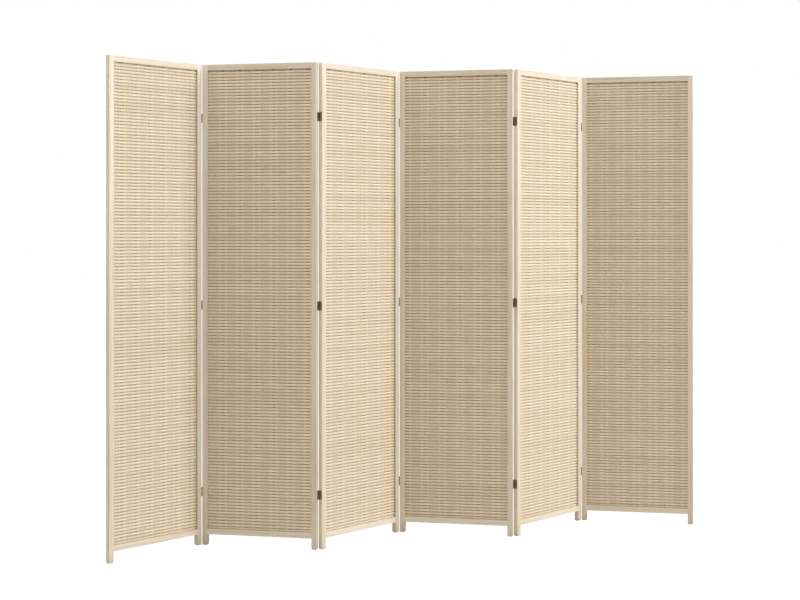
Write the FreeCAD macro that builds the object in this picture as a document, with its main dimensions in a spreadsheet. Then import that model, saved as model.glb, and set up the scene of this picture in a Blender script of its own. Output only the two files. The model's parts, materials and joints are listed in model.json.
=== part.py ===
"""Six-panel folding screen: pine frames with woven bamboo infill, joined by butt hinges.

All sizes are in millimetres. The screen stands in a zigzag on the floor, with +Z up, its width
along X and its front towards -Y. The origin is on the floor, in the middle of the screen's box.

Each panel has a frame of its own: x runs along the panel from its left edge, y from its front
face to its back face, z up from the floor. Each hinge has one too: its pin is the Z axis and its
closed leaves lie along +Y, the outer leaf on the -X side and the middle leaf on the +X side.
"""

import FreeCAD, Part
import math
import os

import Sketcher

PANELS = 6
KNUCKLES = 3  # barrels along one hinge: two on the outer leaf, one on the middle leaf
SCREWS_PER_LEAF = 2

DIMENSIONS = {
    # the screen and its fold
    "screen_height": 1800,
    "panel_width": 446,
    "fold_angle": 63,  # between neighbouring panels, measured from flat
    # frame timber
    "stile_width": 21,
    "frame_depth": 18,
    "top_rail_height": 21,
    "bottom_rail_height": 21,
    "leg_height": 41,  # floor to the underside of the bottom rail
    "edge_chamfer": 1.2,
    "foot_chamfer": 3.5,
    # frame joints
    "tenon_length": 12,
    "tenon_thickness": 6,
    "tenon_shoulder": 3,
    "tenon_clearance": 0.1,
    "mortise_end_gap": 0.5,
    "groove_depth": 6,
    "groove_clearance": 0.1,
    "mat_end_gap": 1,
    # woven bamboo
    "strip_pitch": 11.5,  # taken up or down a little, so that whole rows fill the opening
    "strip_gap": 3,  # between neighbouring strips of one layer
    "strip_thickness": 2.4,
    "strip_crown": 1.2,  # how much of a strip's thickness its rounded face takes
    "lacing_thickness": 0.5,  # web that stands for the lacing between two strips
    "warp_width": 12,
    "warp_thickness": 1.2,
    # hinges
    "hinge_height": 33,
    "top_hinge_drop": 200,  # hinge centre below the top of the screen
    "bottom_hinge_rise": 200,  # hinge centre above the floor
    "leaf_thickness": 0.6,
    "leaf_clearance": 0.4,  # between the two leaves when the panels are in line
    "leaf_margin": 2.4,  # bare timber between a leaf and the face it stops short of
    "knuckle_diameter": 2.8,
    "knuckle_clearance": 0.2,
    "fold_clearance": 0.6,  # least room between two panels folded face to face
    "pin_diameter": 1.3,
    "pin_clearance": 0.05,
    "pin_head_diameter": 2.2,
    "pin_head_height": 0.6,
    "screw_diameter": 2.6,
    "screw_head_diameter": 4.6,
    "screw_length": 11,
    "screw_tip": 2.5,
    "screw_slot_width": 0.7,
    "screw_slot_depth": 0.4,
    "screw_spacing": 18,
    "screw_clearance": 0.05,
}

# the mats are cut from the roll at places of their own, and the roll's spacing wanders a little:
# the first warp strip's centre from the left stile's inner face, and from one strip to the next
MATS = ((44, 65.5), (58, 66), (22, 68.5), (8, 70), (69.5, 65.5), (6, 65))
for number, (first_warp, warp_pitch) in enumerate(MATS, start=1):
    DIMENSIONS[f"first_warp_{number}"] = first_warp
    DIMENSIONS[f"warp_pitch_{number}"] = warp_pitch

# sizes that follow from the driving ones, as formulas in the same sheet
DERIVED = {
    "mat_thickness": "2 * strip_thickness + warp_thickness",
    "groove_width": "mat_thickness + 2 * groove_clearance",
    "mat_edge": "groove_depth - mat_end_gap",
    "opening_width": "panel_width - 2 * stile_width",
    "opening_height": "screen_height - top_rail_height - bottom_rail_height - leg_height",
    "opening_bottom": "leg_height + bottom_rail_height",
    "rail_length": "opening_width + 2 * tenon_length",
    "mat_width": "opening_width + 2 * mat_edge",
    "mat_height": "opening_height + 2 * mat_edge",
    "weft_rows": "max(1; round(mat_height / strip_pitch))",
    "row_pitch": "mat_height / weft_rows",
    "strip_height": "row_pitch - strip_gap",
    "panel_gap": "2 * leaf_thickness + leaf_clearance",
    "knuckle_radius": "knuckle_diameter / 2",
    "knuckle_reach": "knuckle_radius + knuckle_clearance",
    "pin_offset": "max(sqrt(2) * knuckle_reach - panel_gap / 2 - edge_chamfer; fold_clearance / 2)",
    "leaf_reach": "pin_offset + frame_depth - leaf_margin",
    "screw_line": "pin_offset + frame_depth / 2",
    "leaf_near": "panel_gap / 2 - leaf_thickness",
    "knuckle_length": f"(hinge_height - {KNUCKLES - 1} * knuckle_clearance) / {KNUCKLES}",
    "pilot_radius": "screw_diameter / 2 + screw_clearance",
    "pilot_depth": "screw_length - leaf_thickness + mortise_end_gap",
}

ALIASES = set(DIMENSIONS) | set(DERIVED)

doc = FreeCAD.newDocument("folding_screen")
sheet = doc.addObject("Spreadsheet::Sheet", "Sizes")


def fill_sheet():
    """Write the driving sizes as plain numbers and the others as formulas, each with its alias."""
    rows = [(name, str(value)) for name, value in DIMENSIONS.items()]
    rows += [(name, "=" + formula) for name, formula in DERIVED.items()]
    for row, (name, text) in enumerate(rows, start=1):
        sheet.set(f"A{row}", name)
        sheet.set(f"B{row}", text)
        sheet.setAlias(f"B{row}", name)
    doc.recompute()


def size(name):
    """The value of one cell of the sheet."""
    return float(sheet.get(name))


def bind(thing, **formulas):
    """Tie properties of an object to formulas of the sheet's cells."""
    for name, formula in formulas.items():
        thing.setExpression(name.replace("_at_", "."), in_sheet(formula))


def in_sheet(formula):
    """A formula of cell names, written as an expression that other objects can read."""
    words = []
    for word in formula.split(" "):
        bare = word.strip("()")
        words.append(word.replace(bare, "Sizes." + bare) if bare in ALIASES else word)
    return " ".join(words)


def value_of(formula):
    """The value of a formula of cell names."""
    return float(sheet.evalExpression(in_sheet(formula)))


# --- sketches and features of the timber parts -------------------------------------------------


def new_body(label):
    """An empty body with a label of its own."""
    body = doc.addObject("PartDesign::Body", label)
    body.Label = label
    return body


def new_sketch(body, name, plane, offset=None):
    """A sketch on one of the body's own origin planes, moved along its normal by offset."""
    sketch = body.newObject("Sketcher::SketchObject", name)
    origin = [f for f in body.Origin.OriginFeatures if f.Role == plane]
    sketch.AttachmentSupport = [(origin[0], "")]
    sketch.MapMode = "FlatFace"
    if offset:
        sketch.setExpression("AttachmentOffset.Base.z", in_sheet(offset))
    return sketch


def fix_point(sketch, geometry, point, axis, formula):
    """Dimension one coordinate of a point from the sketch's origin, or put it on the axis at zero."""
    value = value_of(formula)
    if value == 0:
        own_axis = -2 if axis == "X" else -1
        sketch.addConstraint(Sketcher.Constraint("PointOnObject", geometry, point, own_axis))
        return
    dimension = Sketcher.Constraint("Distance" + axis, -1, 1, geometry, point, value)
    number = sketch.addConstraint(dimension)
    sketch.setExpression(f"Constraints[{number}]", in_sheet(formula))


def add_outline(sketch, corners):
    """A closed outline whose corners are pairs of formulas; equal neighbours make square sides."""
    spots = []
    for corner in corners:
        x, y = (value_of(formula) for formula in corner)
        spots.append(FreeCAD.Vector(x, y, 0))
    first = sketch.GeometryCount
    count = len(corners)
    for n in range(count):
        sketch.addGeometry(Part.LineSegment(spots[n], spots[(n + 1) % count]))
    for n in range(count):
        following = first + (n + 1) % count
        sketch.addConstraint(Sketcher.Constraint("Coincident", first + n, 2, following, 1))
    for n, corner in enumerate(corners):
        for column, axis, square in ((0, "X", "Vertical"), (1, "Y", "Horizontal")):
            if n and corner[column] == corners[n - 1][column]:
                sketch.addConstraint(Sketcher.Constraint(square, first + n - 1))
            elif n == count - 1 and corner[column] == corners[0][column]:
                sketch.addConstraint(Sketcher.Constraint(square, first + n))
            else:
                fix_point(sketch, first + n, 1, axis, corner[column])


def add_rectangle(sketch, left, low, right, high):
    """A rectangle between two corners."""
    add_outline(sketch, [(left, low), (right, low), (right, high), (left, high)])


def add_circle(sketch, across, up, radius):
    """A circle at a place given by two formulas."""
    centre = FreeCAD.Vector(value_of(across), value_of(up), 0)
    circle = Part.Circle(centre, FreeCAD.Vector(0, 0, 1), value_of(radius))
    number = sketch.addGeometry(circle)
    fix_point(sketch, number, 3, "X", across)
    fix_point(sketch, number, 3, "Y", up)
    dimension = sketch.addConstraint(Sketcher.Constraint("Radius", number, value_of(radius)))
    sketch.setExpression(f"Constraints[{dimension}]", in_sheet(radius))


def pad(body, sketch, length, backwards=False):
    """Extrude a sketch into timber."""
    feature = body.newObject("PartDesign::Pad", sketch.Name + "_pad")
    feature.Profile = sketch
    feature.Reversed = backwards
    bind(feature, Length=length)


def pocket(body, sketch, depth=None, backwards=False):
    """Cut a sketch out of the body to a depth, or right through both ways with no depth."""
    doc.recompute()
    before = body.Shape.Volume
    feature = body.newObject("PartDesign::Pocket", sketch.Name + "_cut")
    feature.Profile = sketch
    if depth:
        feature.Reversed = backwards
        bind(feature, Length=depth)
    else:
        feature.Type = "ThroughAll"
        feature.Midplane = True
    doc.recompute()
    if not body.Shape.Volume < before:
        raise RuntimeError(f"{feature.Name} removes nothing")


# --- the timber parts ---------------------------------------------------------------------------


def hinge_heights():
    """Formulas of the three hinge centres' heights, from the bottom."""
    high = "( screen_height - top_hinge_drop )"
    return ["bottom_hinge_rise", f"( bottom_hinge_rise + {high} ) / 2", high]


def screw_rises():
    """Formulas of the screws' heights on a leaf, from the middle of the hinge."""
    middle = (SCREWS_PER_LEAF - 1) / 2
    return [f"( {number - middle} ) * screw_spacing" for number in range(SCREWS_PER_LEAF)]


def make_stile(label, hinged):
    """An upright with its outer edge at x = 0: the same part serves left, and right turned round."""
    body = new_body(label)
    section = new_sketch(body, label + "_section", "XY_Plane")
    add_outline(
        section,
        [
            ("edge_chamfer", "0"),
            ("stile_width", "0"),
            ("stile_width", "frame_depth"),
            ("edge_chamfer", "frame_depth"),
            ("0", "frame_depth - edge_chamfer"),
            ("0", "edge_chamfer"),
        ],
    )
    pad(body, section, "screen_height")

    groove = new_sketch(body, label + "_groove", "YZ_Plane", "stile_width")
    add_rectangle(
        groove,
        "( frame_depth - groove_width ) / 2",
        "opening_bottom - groove_depth",
        "( frame_depth + groove_width ) / 2",
        "opening_bottom + opening_height + groove_depth",
    )
    pocket(body, groove, "groove_depth")

    mortises = new_sketch(body, label + "_mortises", "YZ_Plane", "stile_width")
    near = "( frame_depth - tenon_thickness ) / 2 - tenon_clearance"
    far = "( frame_depth + tenon_thickness ) / 2 + tenon_clearance"
    low = "leg_height + tenon_shoulder - tenon_clearance"
    high = "opening_bottom - groove_depth - tenon_shoulder + tenon_clearance"
    add_rectangle(mortises, near, low, far, high)
    low = "opening_bottom + opening_height + groove_depth + tenon_shoulder - tenon_clearance"
    high = "screen_height - tenon_shoulder + tenon_clearance"
    add_rectangle(mortises, near, low, far, high)
    pocket(body, mortises, "tenon_length + mortise_end_gap")

    if hinged:
        pilots = new_sketch(body, label + "_pilots", "YZ_Plane")
        for height in hinge_heights():
            for rise in screw_rises():
                add_circle(pilots, "frame_depth / 2", f"{height} + {rise}", "pilot_radius")
        pocket(body, pilots, "pilot_depth", backwards=True)

    for plane, across in (("XZ_Plane", "stile_width"), ("YZ_Plane", "frame_depth")):
        corners = new_sketch(body, f"{label}_foot_{plane[:2]}", plane)
        add_outline(corners, [("0", "0"), ("foot_chamfer", "0"), ("0", "foot_chamfer")])
        inner = f"{across} - foot_chamfer"
        add_outline(corners, [(inner, "0"), (across, "0"), (across, "foot_chamfer")])
        pocket(body, corners)
    return body


def make_rail(label, height):
    """A rail lying as the bottom one does, its tenons along X and its groove on top."""
    body = new_body(label)
    face = new_sketch(body, label + "_face", "XZ_Plane")
    shoulder = "tenon_length + opening_width"
    add_rectangle(face, "tenon_length", "0", shoulder, height)
    pad(body, face, "frame_depth", backwards=True)

    depth = "( frame_depth - tenon_thickness ) / 2"
    tenons = new_sketch(body, label + "_tenons", "XY_Plane", "tenon_shoulder")
    add_rectangle(tenons, "0", depth, "rail_length", f"{depth} + tenon_thickness")
    pad(body, tenons, f"{height} - groove_depth - 2 * tenon_shoulder")

    groove = new_sketch(body, label + "_groove", "XY_Plane", height)
    low = "( frame_depth - groove_width ) / 2"
    high = "( frame_depth + groove_width ) / 2"
    add_rectangle(groove, "tenon_length", low, shoulder, high)
    pocket(body, groove, "groove_depth")
    return body


# --- the woven bamboo ---------------------------------------------------------------------------


def weft_layer(flat_y, outwards, first_row):
    """One layer of weft strips with its flat side at flat_y and its rounded faces outwards."""
    thickness, crown = size("strip_thickness"), size("strip_crown")
    half = size("strip_height") / 2
    shape = (
        (-half, size("lacing_thickness")),
        (-half, thickness - crown),
        (-half / 2, thickness),
        (half / 2, thickness),
        (half, thickness - crown),
        (half, size("lacing_thickness")),
    )
    low = size("opening_bottom") - size("mat_edge")
    high = low + size("mat_height")
    points = [(0, low), (size("lacing_thickness"), low)]
    for row in range(int(size("weft_rows"))):
        centre = low + (row + first_row) * size("row_pitch")
        if centre - half > low and centre + half < high:
            points += [(out, centre + up) for up, out in shape]
    points += [(size("lacing_thickness"), high), (0, high), (0, low)]
    left = size("stile_width") - size("mat_edge")
    outline = [FreeCAD.Vector(left, flat_y + outwards * out, up) for out, up in points]
    face = Part.Face(Part.makePolygon(outline))
    return face.extrude(FreeCAD.Vector(size("mat_width"), 0, 0))


def make_weft(label):
    """The weft: a front and a back layer, half a row apart, with the warp between them."""
    weft = doc.addObject("Part::Feature", label)
    weft.Label = label
    middle, half = size("frame_depth") / 2, size("warp_thickness") / 2
    front = weft_layer(middle - half, -1, 0.5)
    back = weft_layer(middle + half, 1, 1)
    weft.Shape = Part.makeCompound([front, back])
    return weft


def make_warp(label, number):
    """The warp of one panel: upright flat strips, the last of them still inside the mat."""
    first, pitch = f"first_warp_{number}", f"warp_pitch_{number}"
    room = value_of(f"opening_width + mat_edge - warp_width / 2 - {first}")
    count = 1 + int(room // size(pitch))
    strips = []
    for n in range(count):
        strip = doc.addObject("Part::Box", f"{label}_{n + 1}")
        bind(
            strip,
            Length="warp_width",
            Width="warp_thickness",
            Height="mat_height",
            Placement_at_Base_at_x=f"stile_width + {first} + {n} * {pitch} - warp_width / 2",
            Placement_at_Base_at_y="( frame_depth - warp_thickness ) / 2",
            Placement_at_Base_at_z="opening_bottom - mat_edge",
        )
        strips.append(strip)
    warp = doc.addObject("Part::Compound", label)
    warp.Label = label
    warp.Links = strips
    return warp


# --- the hinge parts ----------------------------------------------------------------------------


def knuckle_bottom(number):
    """Formula of the height of a knuckle's lower end, from the middle of the hinge."""
    return f"{number} * ( knuckle_length + knuckle_clearance ) - hinge_height / 2"


def make_leaf(name, side, own_knuckles):
    """A leaf on the -X side (side = -1) or the +X side (+1) with its own knuckles and holes."""
    near = "leaf_near" if side > 0 else "-1 * panel_gap / 2"
    plate = doc.addObject("Part::Box", name + "_plate")
    bind(
        plate,
        Length="leaf_thickness",
        Width="leaf_reach - knuckle_reach",
        Height="hinge_height",
        Placement_at_Base_at_x=near,
        Placement_at_Base_at_y="knuckle_reach",
        Placement_at_Base_at_z="-1 * hinge_height / 2",
    )
    solids = [plate]
    for number in own_knuckles:
        tongue = doc.addObject("Part::Box", f"{name}_tongue_{number + 1}")
        bind(
            tongue,
            Length="leaf_thickness",
            Width="knuckle_reach",
            Height="knuckle_length",
            Placement_at_Base_at_x=near,
            Placement_at_Base_at_z=knuckle_bottom(number),
        )
        barrel = doc.addObject("Part::Cylinder", f"{name}_barrel_{number + 1}")
        bind(
            barrel,
            Radius="knuckle_radius",
            Height="knuckle_length",
            Placement_at_Base_at_z=knuckle_bottom(number),
        )
        solids += [tongue, barrel]
    blank = doc.addObject("Part::MultiFuse", name + "_blank")
    blank.Shapes = solids

    bore = doc.addObject("Part::Cylinder", name + "_bore")
    bind(
        bore,
        Radius="pin_diameter / 2 + pin_clearance",
        Height="hinge_height",
        Placement_at_Base_at_z="-1 * hinge_height / 2",
    )
    holes = [bore]
    turn = FreeCAD.Rotation(FreeCAD.Vector(0, 1, 0), 90 * side)
    for number, rise in enumerate(screw_rises(), start=1):
        hole = doc.addObject("Part::Cone", f"{name}_countersink_{number}")
        hole.Placement.Rotation = turn
        bind(
            hole,
            Radius1="screw_head_diameter / 2 + screw_clearance",
            Radius2="pilot_radius",
            Height="leaf_thickness",
            Placement_at_Base_at_x=f"{side} * leaf_near",
            Placement_at_Base_at_y="screw_line",
            Placement_at_Base_at_z=rise,
        )
        holes.append(hole)
    cuts = doc.addObject("Part::MultiFuse", name + "_holes")
    cuts.Shapes = holes
    leaf = doc.addObject("Part::Cut", name)
    leaf.Base = blank
    leaf.Tool = cuts
    return leaf


def make_pin(name):
    """The hinge pin, with a peened head at each end."""
    parts = []
    for suffix, radius, height, bottom in (
        ("shank", "pin_diameter / 2", "hinge_height", "-1 * hinge_height / 2"),
        ("foot", "pin_head_diameter / 2", "pin_head_height", "-1 * hinge_height / 2 - pin_head_height"),
        ("head", "pin_head_diameter / 2", "pin_head_height", "hinge_height / 2"),
    ):
        part = doc.addObject("Part::Cylinder", f"{name}_{suffix}")
        bind(part, Radius=radius, Height=height, Placement_at_Base_at_z=bottom)
        parts.append(part)
    pin = doc.addObject("Part::MultiFuse", name)
    pin.Shapes = parts
    return pin


def make_screw(name):
    """A countersunk wood screw along +X, the face of its head at the origin."""
    along = FreeCAD.Rotation(FreeCAD.Vector(0, 1, 0), 90)
    parts = []
    for suffix, kind, formulas in (
        (
            "head",
            "Part::Cone",
            {
                "Radius1": "screw_head_diameter / 2",
                "Radius2": "screw_diameter / 2",
                "Height": "leaf_thickness",
            },
        ),
        (
            "shank",
            "Part::Cylinder",
            {
                "Radius": "screw_diameter / 2",
                "Height": "screw_length - leaf_thickness - screw_tip",
                "Placement_at_Base_at_x": "leaf_thickness",
            },
        ),
        (
            "tip",
            "Part::Cone",
            {
                "Radius1": "screw_diameter / 2",
                "Radius2": "screw_diameter / 8",
                "Height": "screw_tip",
                "Placement_at_Base_at_x": "screw_length - screw_tip",
            },
        ),
    ):
        part = doc.addObject(kind, f"{name}_{suffix}")
        part.Placement.Rotation = along
        bind(part, **formulas)
        parts.append(part)
    blank = doc.addObject("Part::MultiFuse", name + "_blank")
    blank.Shapes = parts
    slot = doc.addObject("Part::Box", name + "_slot")
    bind(
        slot,
        Length="screw_slot_depth",
        Width="screw_head_diameter",
        Height="screw_slot_width",
        Placement_at_Base_at_y="-1 * screw_head_diameter / 2",
        Placement_at_Base_at_z="-1 * screw_slot_width / 2",
    )
    screw = doc.addObject("Part::Cut", name)
    screw.Base = blank
    screw.Tool = slot
    return screw


# --- where everything stands --------------------------------------------------------------------


def moved(x=0, y=0, z=0, turn=0):
    """A placement: moved by x, y, z, and turned about Z by an angle in degrees."""
    rotation = FreeCAD.Rotation(FreeCAD.Vector(0, 0, 1), turn)
    return FreeCAD.Placement(FreeCAD.Vector(x, y, z), rotation)


def fold_is_valley(fold):
    """Odd folds have their pins at the front face, even folds at the back face."""
    return fold % 2 == 1


def pin_in_panel(fold, on_left_panel):
    """The hinge frame of a fold, in the frame of the panel on its left or on its right."""
    x = size("panel_width") + size("panel_gap") / 2 if on_left_panel else -size("panel_gap") / 2
    if fold_is_valley(fold):
        return moved(x, -size("pin_offset"))
    return moved(x, size("frame_depth") + size("pin_offset"), turn=180)


def panel_corners():
    """The plan of a panel, with its chamfered outer corners."""
    width, depth, chamfer = size("panel_width"), size("frame_depth"), size("edge_chamfer")
    corners = []
    for x, inwards in ((0, 1), (width, -1)):
        for y, into in ((0, 1), (depth, -1)):
            corners.append(FreeCAD.Vector(x + inwards * chamfer, y, 0))
            corners.append(FreeCAD.Vector(x, y + into * chamfer, 0))
    return corners


def panel_placements():
    """The placement of each panel in the standing zigzag, with the screen's box centred."""
    angle = size("fold_angle")
    places = [moved(turn=angle / 2)]
    for fold in range(1, PANELS):
        turn = -angle if fold_is_valley(fold) else angle
        hinge = places[-1] * pin_in_panel(fold, True)
        places.append(hinge * moved(turn=turn) * pin_in_panel(fold, False).inverse())
    corners = [place.multVec(corner) for place in places for corner in panel_corners()]
    middle_x = (min(c.x for c in corners) + max(c.x for c in corners)) / 2
    middle_y = (min(c.y for c in corners) + max(c.y for c in corners)) / 2
    return [moved(-middle_x, -middle_y) * place for place in places]


def group(label, copies):
    """Identical pieces of hardware in one node: copies is a list of (shape, placement)."""
    node = doc.addObject("Part::Feature", label)
    node.Label = label
    solids = []
    for shape, place in copies:
        solid = shape.copy()
        solid.Placement = place * solid.Placement
        solids.append(solid)
    node.Shape = Part.makeCompound(solids)
    return node


def leaf_screws(screw, side):
    """The screws of one leaf's three hinges, in the hinge frame."""
    turn = 180 if side < 0 else 0
    copies = []
    for height in hinge_heights():
        for rise in screw_rises():
            z = value_of(f"{height} + {rise}")
            place = moved(side * size("leaf_near"), size("screw_line"), z, turn)
            copies.append((screw.Shape, place))
    return copies


def three_hinges(shape):
    """One piece of a hinge at the height of each of the three hinges of a fold."""
    return [(shape, moved(z=value_of(height))) for height in hinge_heights()]


def build_panel(number, place, screw):
    """One panel's timber, weave and hinge screws."""
    name = f"panel_{number}_"
    left = make_stile(name + "left_stile", hinged=number > 1)
    left.Placement = place
    right = make_stile(name + "right_stile", hinged=number < PANELS)
    right.Placement = place * moved(size("panel_width"), size("frame_depth"), turn=180)

    start = size("stile_width") - size("tenon_length")
    bottom = make_rail(name + "bottom_rail", "bottom_rail_height")
    bottom.Placement = place * moved(start, 0, size("leg_height"))
    top = make_rail(name + "top_rail", "top_rail_height")
    upside_down = FreeCAD.Placement(
        FreeCAD.Vector(start + size("rail_length"), 0, size("screen_height")),
        FreeCAD.Rotation(FreeCAD.Vector(0, 1, 0), 180),
    )
    top.Placement = place * upside_down

    weft = make_weft(name + "weft_strips")
    weft.Placement = place
    warp = make_warp(name + "warp_strips", number)
    warp.Placement = place

    copies = []
    for fold, on_left_panel in ((number - 1, False), (number, True)):
        if 1 <= fold < PANELS:
            hinge = pin_in_panel(fold, on_left_panel)
            side = leaf_side(fold, on_left_panel)
            copies += [(shape, hinge * spot) for shape, spot in leaf_screws(screw, side)]
    screws = group(name + "hinge_screws", copies)
    screws.Placement = place
    return [left, right, bottom, top, weft, warp, screws]


def leaf_side(fold, on_left_panel):
    """Which side of the hinge frame a panel's leaf is on: a ridge's hinge frame is turned round."""
    return -1 if on_left_panel == fold_is_valley(fold) else 1


def build_fold(fold, places, leaves, pin):
    """The three hinges between two panels: a node for each side's leaves and one for the pins."""
    nodes = []
    for on_left_panel, side_name in ((True, "left"), (False, "right")):
        panel = places[fold - 1] if on_left_panel else places[fold]
        side = leaf_side(fold, on_left_panel)
        node = group(f"fold_{fold}_{side_name}_leaves", three_hinges(leaves[side].Shape))
        node.Placement = panel * pin_in_panel(fold, on_left_panel)
        nodes.append(node)
        if side < 0:
            pins = group(f"fold_{fold}_pins", three_hinges(pin.Shape))
            pins.Placement = node.Placement
            nodes.append(pins)
    return nodes


def check(nodes):
    """Stop if anything in the document failed or a node has a bad shape or a name twice."""
    failed = [o.Name for o in doc.Objects if {"Invalid", "Error"} & set(o.State)]
    if failed:
        raise RuntimeError(f"failed objects: {failed}")
    bad = [n.Label for n in nodes if n.Shape.isNull() or not n.Shape.isValid()]
    if bad:
        raise RuntimeError(f"bad shapes: {bad}")
    if len({n.Label for n in nodes}) < len(nodes):
        raise RuntimeError("two nodes have one name")


def main():
    """Build the screen and write one STEP file for each node."""
    fill_sheet()
    outer = range(0, KNUCKLES, 2)
    inner = range(1, KNUCKLES, 2)
    leaves = {-1: make_leaf("outer_leaf", -1, outer), 1: make_leaf("middle_leaf", 1, inner)}
    pin = make_pin("hinge_pin")
    screw = make_screw("hinge_screw")
    doc.recompute()

    places = panel_placements()
    nodes = []
    for number, place in enumerate(places, start=1):
        nodes += build_panel(number, place, screw)
    for fold in range(1, PANELS):
        nodes += build_fold(fold, places, leaves, pin)
    doc.recompute()
    check(nodes)

    os.makedirs("parts", exist_ok=True)
    for node in nodes:
        node.Shape.exportStep(f"parts/{node.Label}.step")
    print(f"{len(nodes)} nodes, {sum(len(node.Shape.Solids) for node in nodes)} solids")


main()
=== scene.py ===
"""Looks of a six-panel folding screen: pine frames, woven split bamboo, and small bronzed hinges.

Everything is in metres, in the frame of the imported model: Z up from the floor, X along the
screen, Y from its front to its back. The weave is modelled here; the timber, the warp strips and
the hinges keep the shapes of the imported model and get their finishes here.
"""

import json
import math

import bmesh
import bpy
import numpy as np
from bpy.props import FloatProperty, FloatVectorProperty, PointerProperty
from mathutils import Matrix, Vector

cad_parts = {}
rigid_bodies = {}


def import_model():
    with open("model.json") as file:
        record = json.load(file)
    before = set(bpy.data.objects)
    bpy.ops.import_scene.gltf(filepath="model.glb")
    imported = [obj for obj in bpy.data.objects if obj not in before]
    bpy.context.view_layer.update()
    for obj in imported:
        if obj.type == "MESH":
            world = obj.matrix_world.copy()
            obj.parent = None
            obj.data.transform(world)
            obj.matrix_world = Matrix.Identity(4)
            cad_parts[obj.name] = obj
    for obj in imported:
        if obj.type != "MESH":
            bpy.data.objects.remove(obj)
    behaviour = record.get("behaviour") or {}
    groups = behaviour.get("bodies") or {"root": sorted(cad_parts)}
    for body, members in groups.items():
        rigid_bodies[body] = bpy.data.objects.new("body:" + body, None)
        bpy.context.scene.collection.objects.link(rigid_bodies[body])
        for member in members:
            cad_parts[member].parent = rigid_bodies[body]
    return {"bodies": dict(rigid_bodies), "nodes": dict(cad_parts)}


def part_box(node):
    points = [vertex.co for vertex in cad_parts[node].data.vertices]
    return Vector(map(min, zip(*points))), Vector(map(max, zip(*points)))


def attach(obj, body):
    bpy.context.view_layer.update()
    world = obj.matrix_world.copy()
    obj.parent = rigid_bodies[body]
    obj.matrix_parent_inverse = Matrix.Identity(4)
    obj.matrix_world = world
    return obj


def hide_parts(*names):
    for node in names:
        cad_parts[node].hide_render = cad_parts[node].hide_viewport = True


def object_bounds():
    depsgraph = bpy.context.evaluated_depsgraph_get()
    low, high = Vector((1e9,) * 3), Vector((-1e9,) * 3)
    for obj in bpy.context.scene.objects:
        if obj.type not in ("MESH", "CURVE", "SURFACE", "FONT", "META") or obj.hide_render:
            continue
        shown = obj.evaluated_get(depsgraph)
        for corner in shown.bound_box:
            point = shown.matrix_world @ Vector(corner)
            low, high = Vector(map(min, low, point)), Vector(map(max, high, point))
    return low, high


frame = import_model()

bl_info = {
    "name": "Woven Folding Screen",
    "blender": (4, 5, 0),
    "version": (1, 0, 0),
    "location": "View3D > Sidebar > Screen",
    "description": "Weaves, laces and finishes a folding screen around its packed model",
    "category": "Object",
}

CAD_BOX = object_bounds()
MM = 0.001
UP = Vector((0, 0, 1))
WHITE = (1, 1, 1, 1)
PANELS = sum(1 for body in frame["bodies"] if body.startswith("panel_"))
SCREEN_TOP = CAD_BOX[1][2]

# points closer than this are at one place; places are told apart to this many digits of a metre
SAME_PLACE = 0.01 * MM
PLACE_DIGITS = 5
# cosines from which an edge or a face counts as square to an axis, and a face as facing the back
SQUARE = 0.99
FACING_BACK = 0.9

# weft strips: height of the flat of their skin as a share of their own, length over which they
# thicken beside a stile, and the angle under which two faces are shaded as one
SKIN_SHARE = 0.5
PARING_RUN = 4 * MM
SMOOTH_ANGLE = math.radians(70)
# shares of a strip's thickness and height that are left of the front strips beside the rails
SLIM_THICKNESS = 0.4
SLIM_HEIGHT = 0.58
# grain of the patterns by which strips wander up and down, and in and out
SWAY_GRAIN = 45 * MM
RIPPLE_GRAIN = 60 * MM
# the weave's UV map, with the middle and the span of v on a strip's flat side and on the rest
WEAVE_UV = "Weave"
FLAT_SIDE_V = (0.05, 0.08)
SKIN_V = (0.5, 0.8)

# twine: sides of its section, steps of one wave, and distance under which waves are joined
TWINE_SIDES = 6
WAVE_STEPS = 4
JOIN_DISTANCE = 0.02 * MM

# tints that colours are multiplied by
DARKER_BOARD = (0.95, 0.93, 0.90, 1)
# painted shade: the pine darkens towards the floor, and on the rails by a fixed share
FALLOFF_SHADE_TINT = (0.9, 0.895, 0.865, 1)
DARKER_STRIP = (0.92, 0.90, 0.86, 1)
# the colour sockets of a Mix node: its two inputs and its result
MIX_A, MIX_B, MIXED = 6, 7, 2

# stage: the floor, and the camera's sensor, shift and farthest view
FLOOR_SIDES = 96
FLOOR_RADIUS = 30
FLOOR_THICKNESS = 0.02
SENSOR_WIDTH = 36
FRAME_SHIFT = -0.0871
FARTHEST_VIEW = 100


def from_hex(code):
    """The linear colour of an sRGB hex value such as E9DCC0."""
    channels = [int(code[n : n + 2], 16) / 255 for n in (0, 2, 4)]
    return tuple(c / 12.92 if c <= 0.04045 else ((c + 0.055) / 1.055) ** 2.4 for c in channels)


# --- sizes and colours a user would change -------------------------------------------------------


def length(name, millimetres, description):
    """A property for a length, shown in Blender's units."""
    return FloatProperty(
        name=name, description=description, default=millimetres * MM, min=0, unit="LENGTH"
    )


def colour(name, code, description):
    """A property for a colour, from its sRGB hex value."""
    return FloatVectorProperty(
        name=name, description=description, default=from_hex(code), min=0, max=1, subtype="COLOR"
    )


def watts(name, power, description):
    """A property for the power of a light."""
    return FloatProperty(name=name, description=description, default=power, min=0, unit="POWER")


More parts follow.
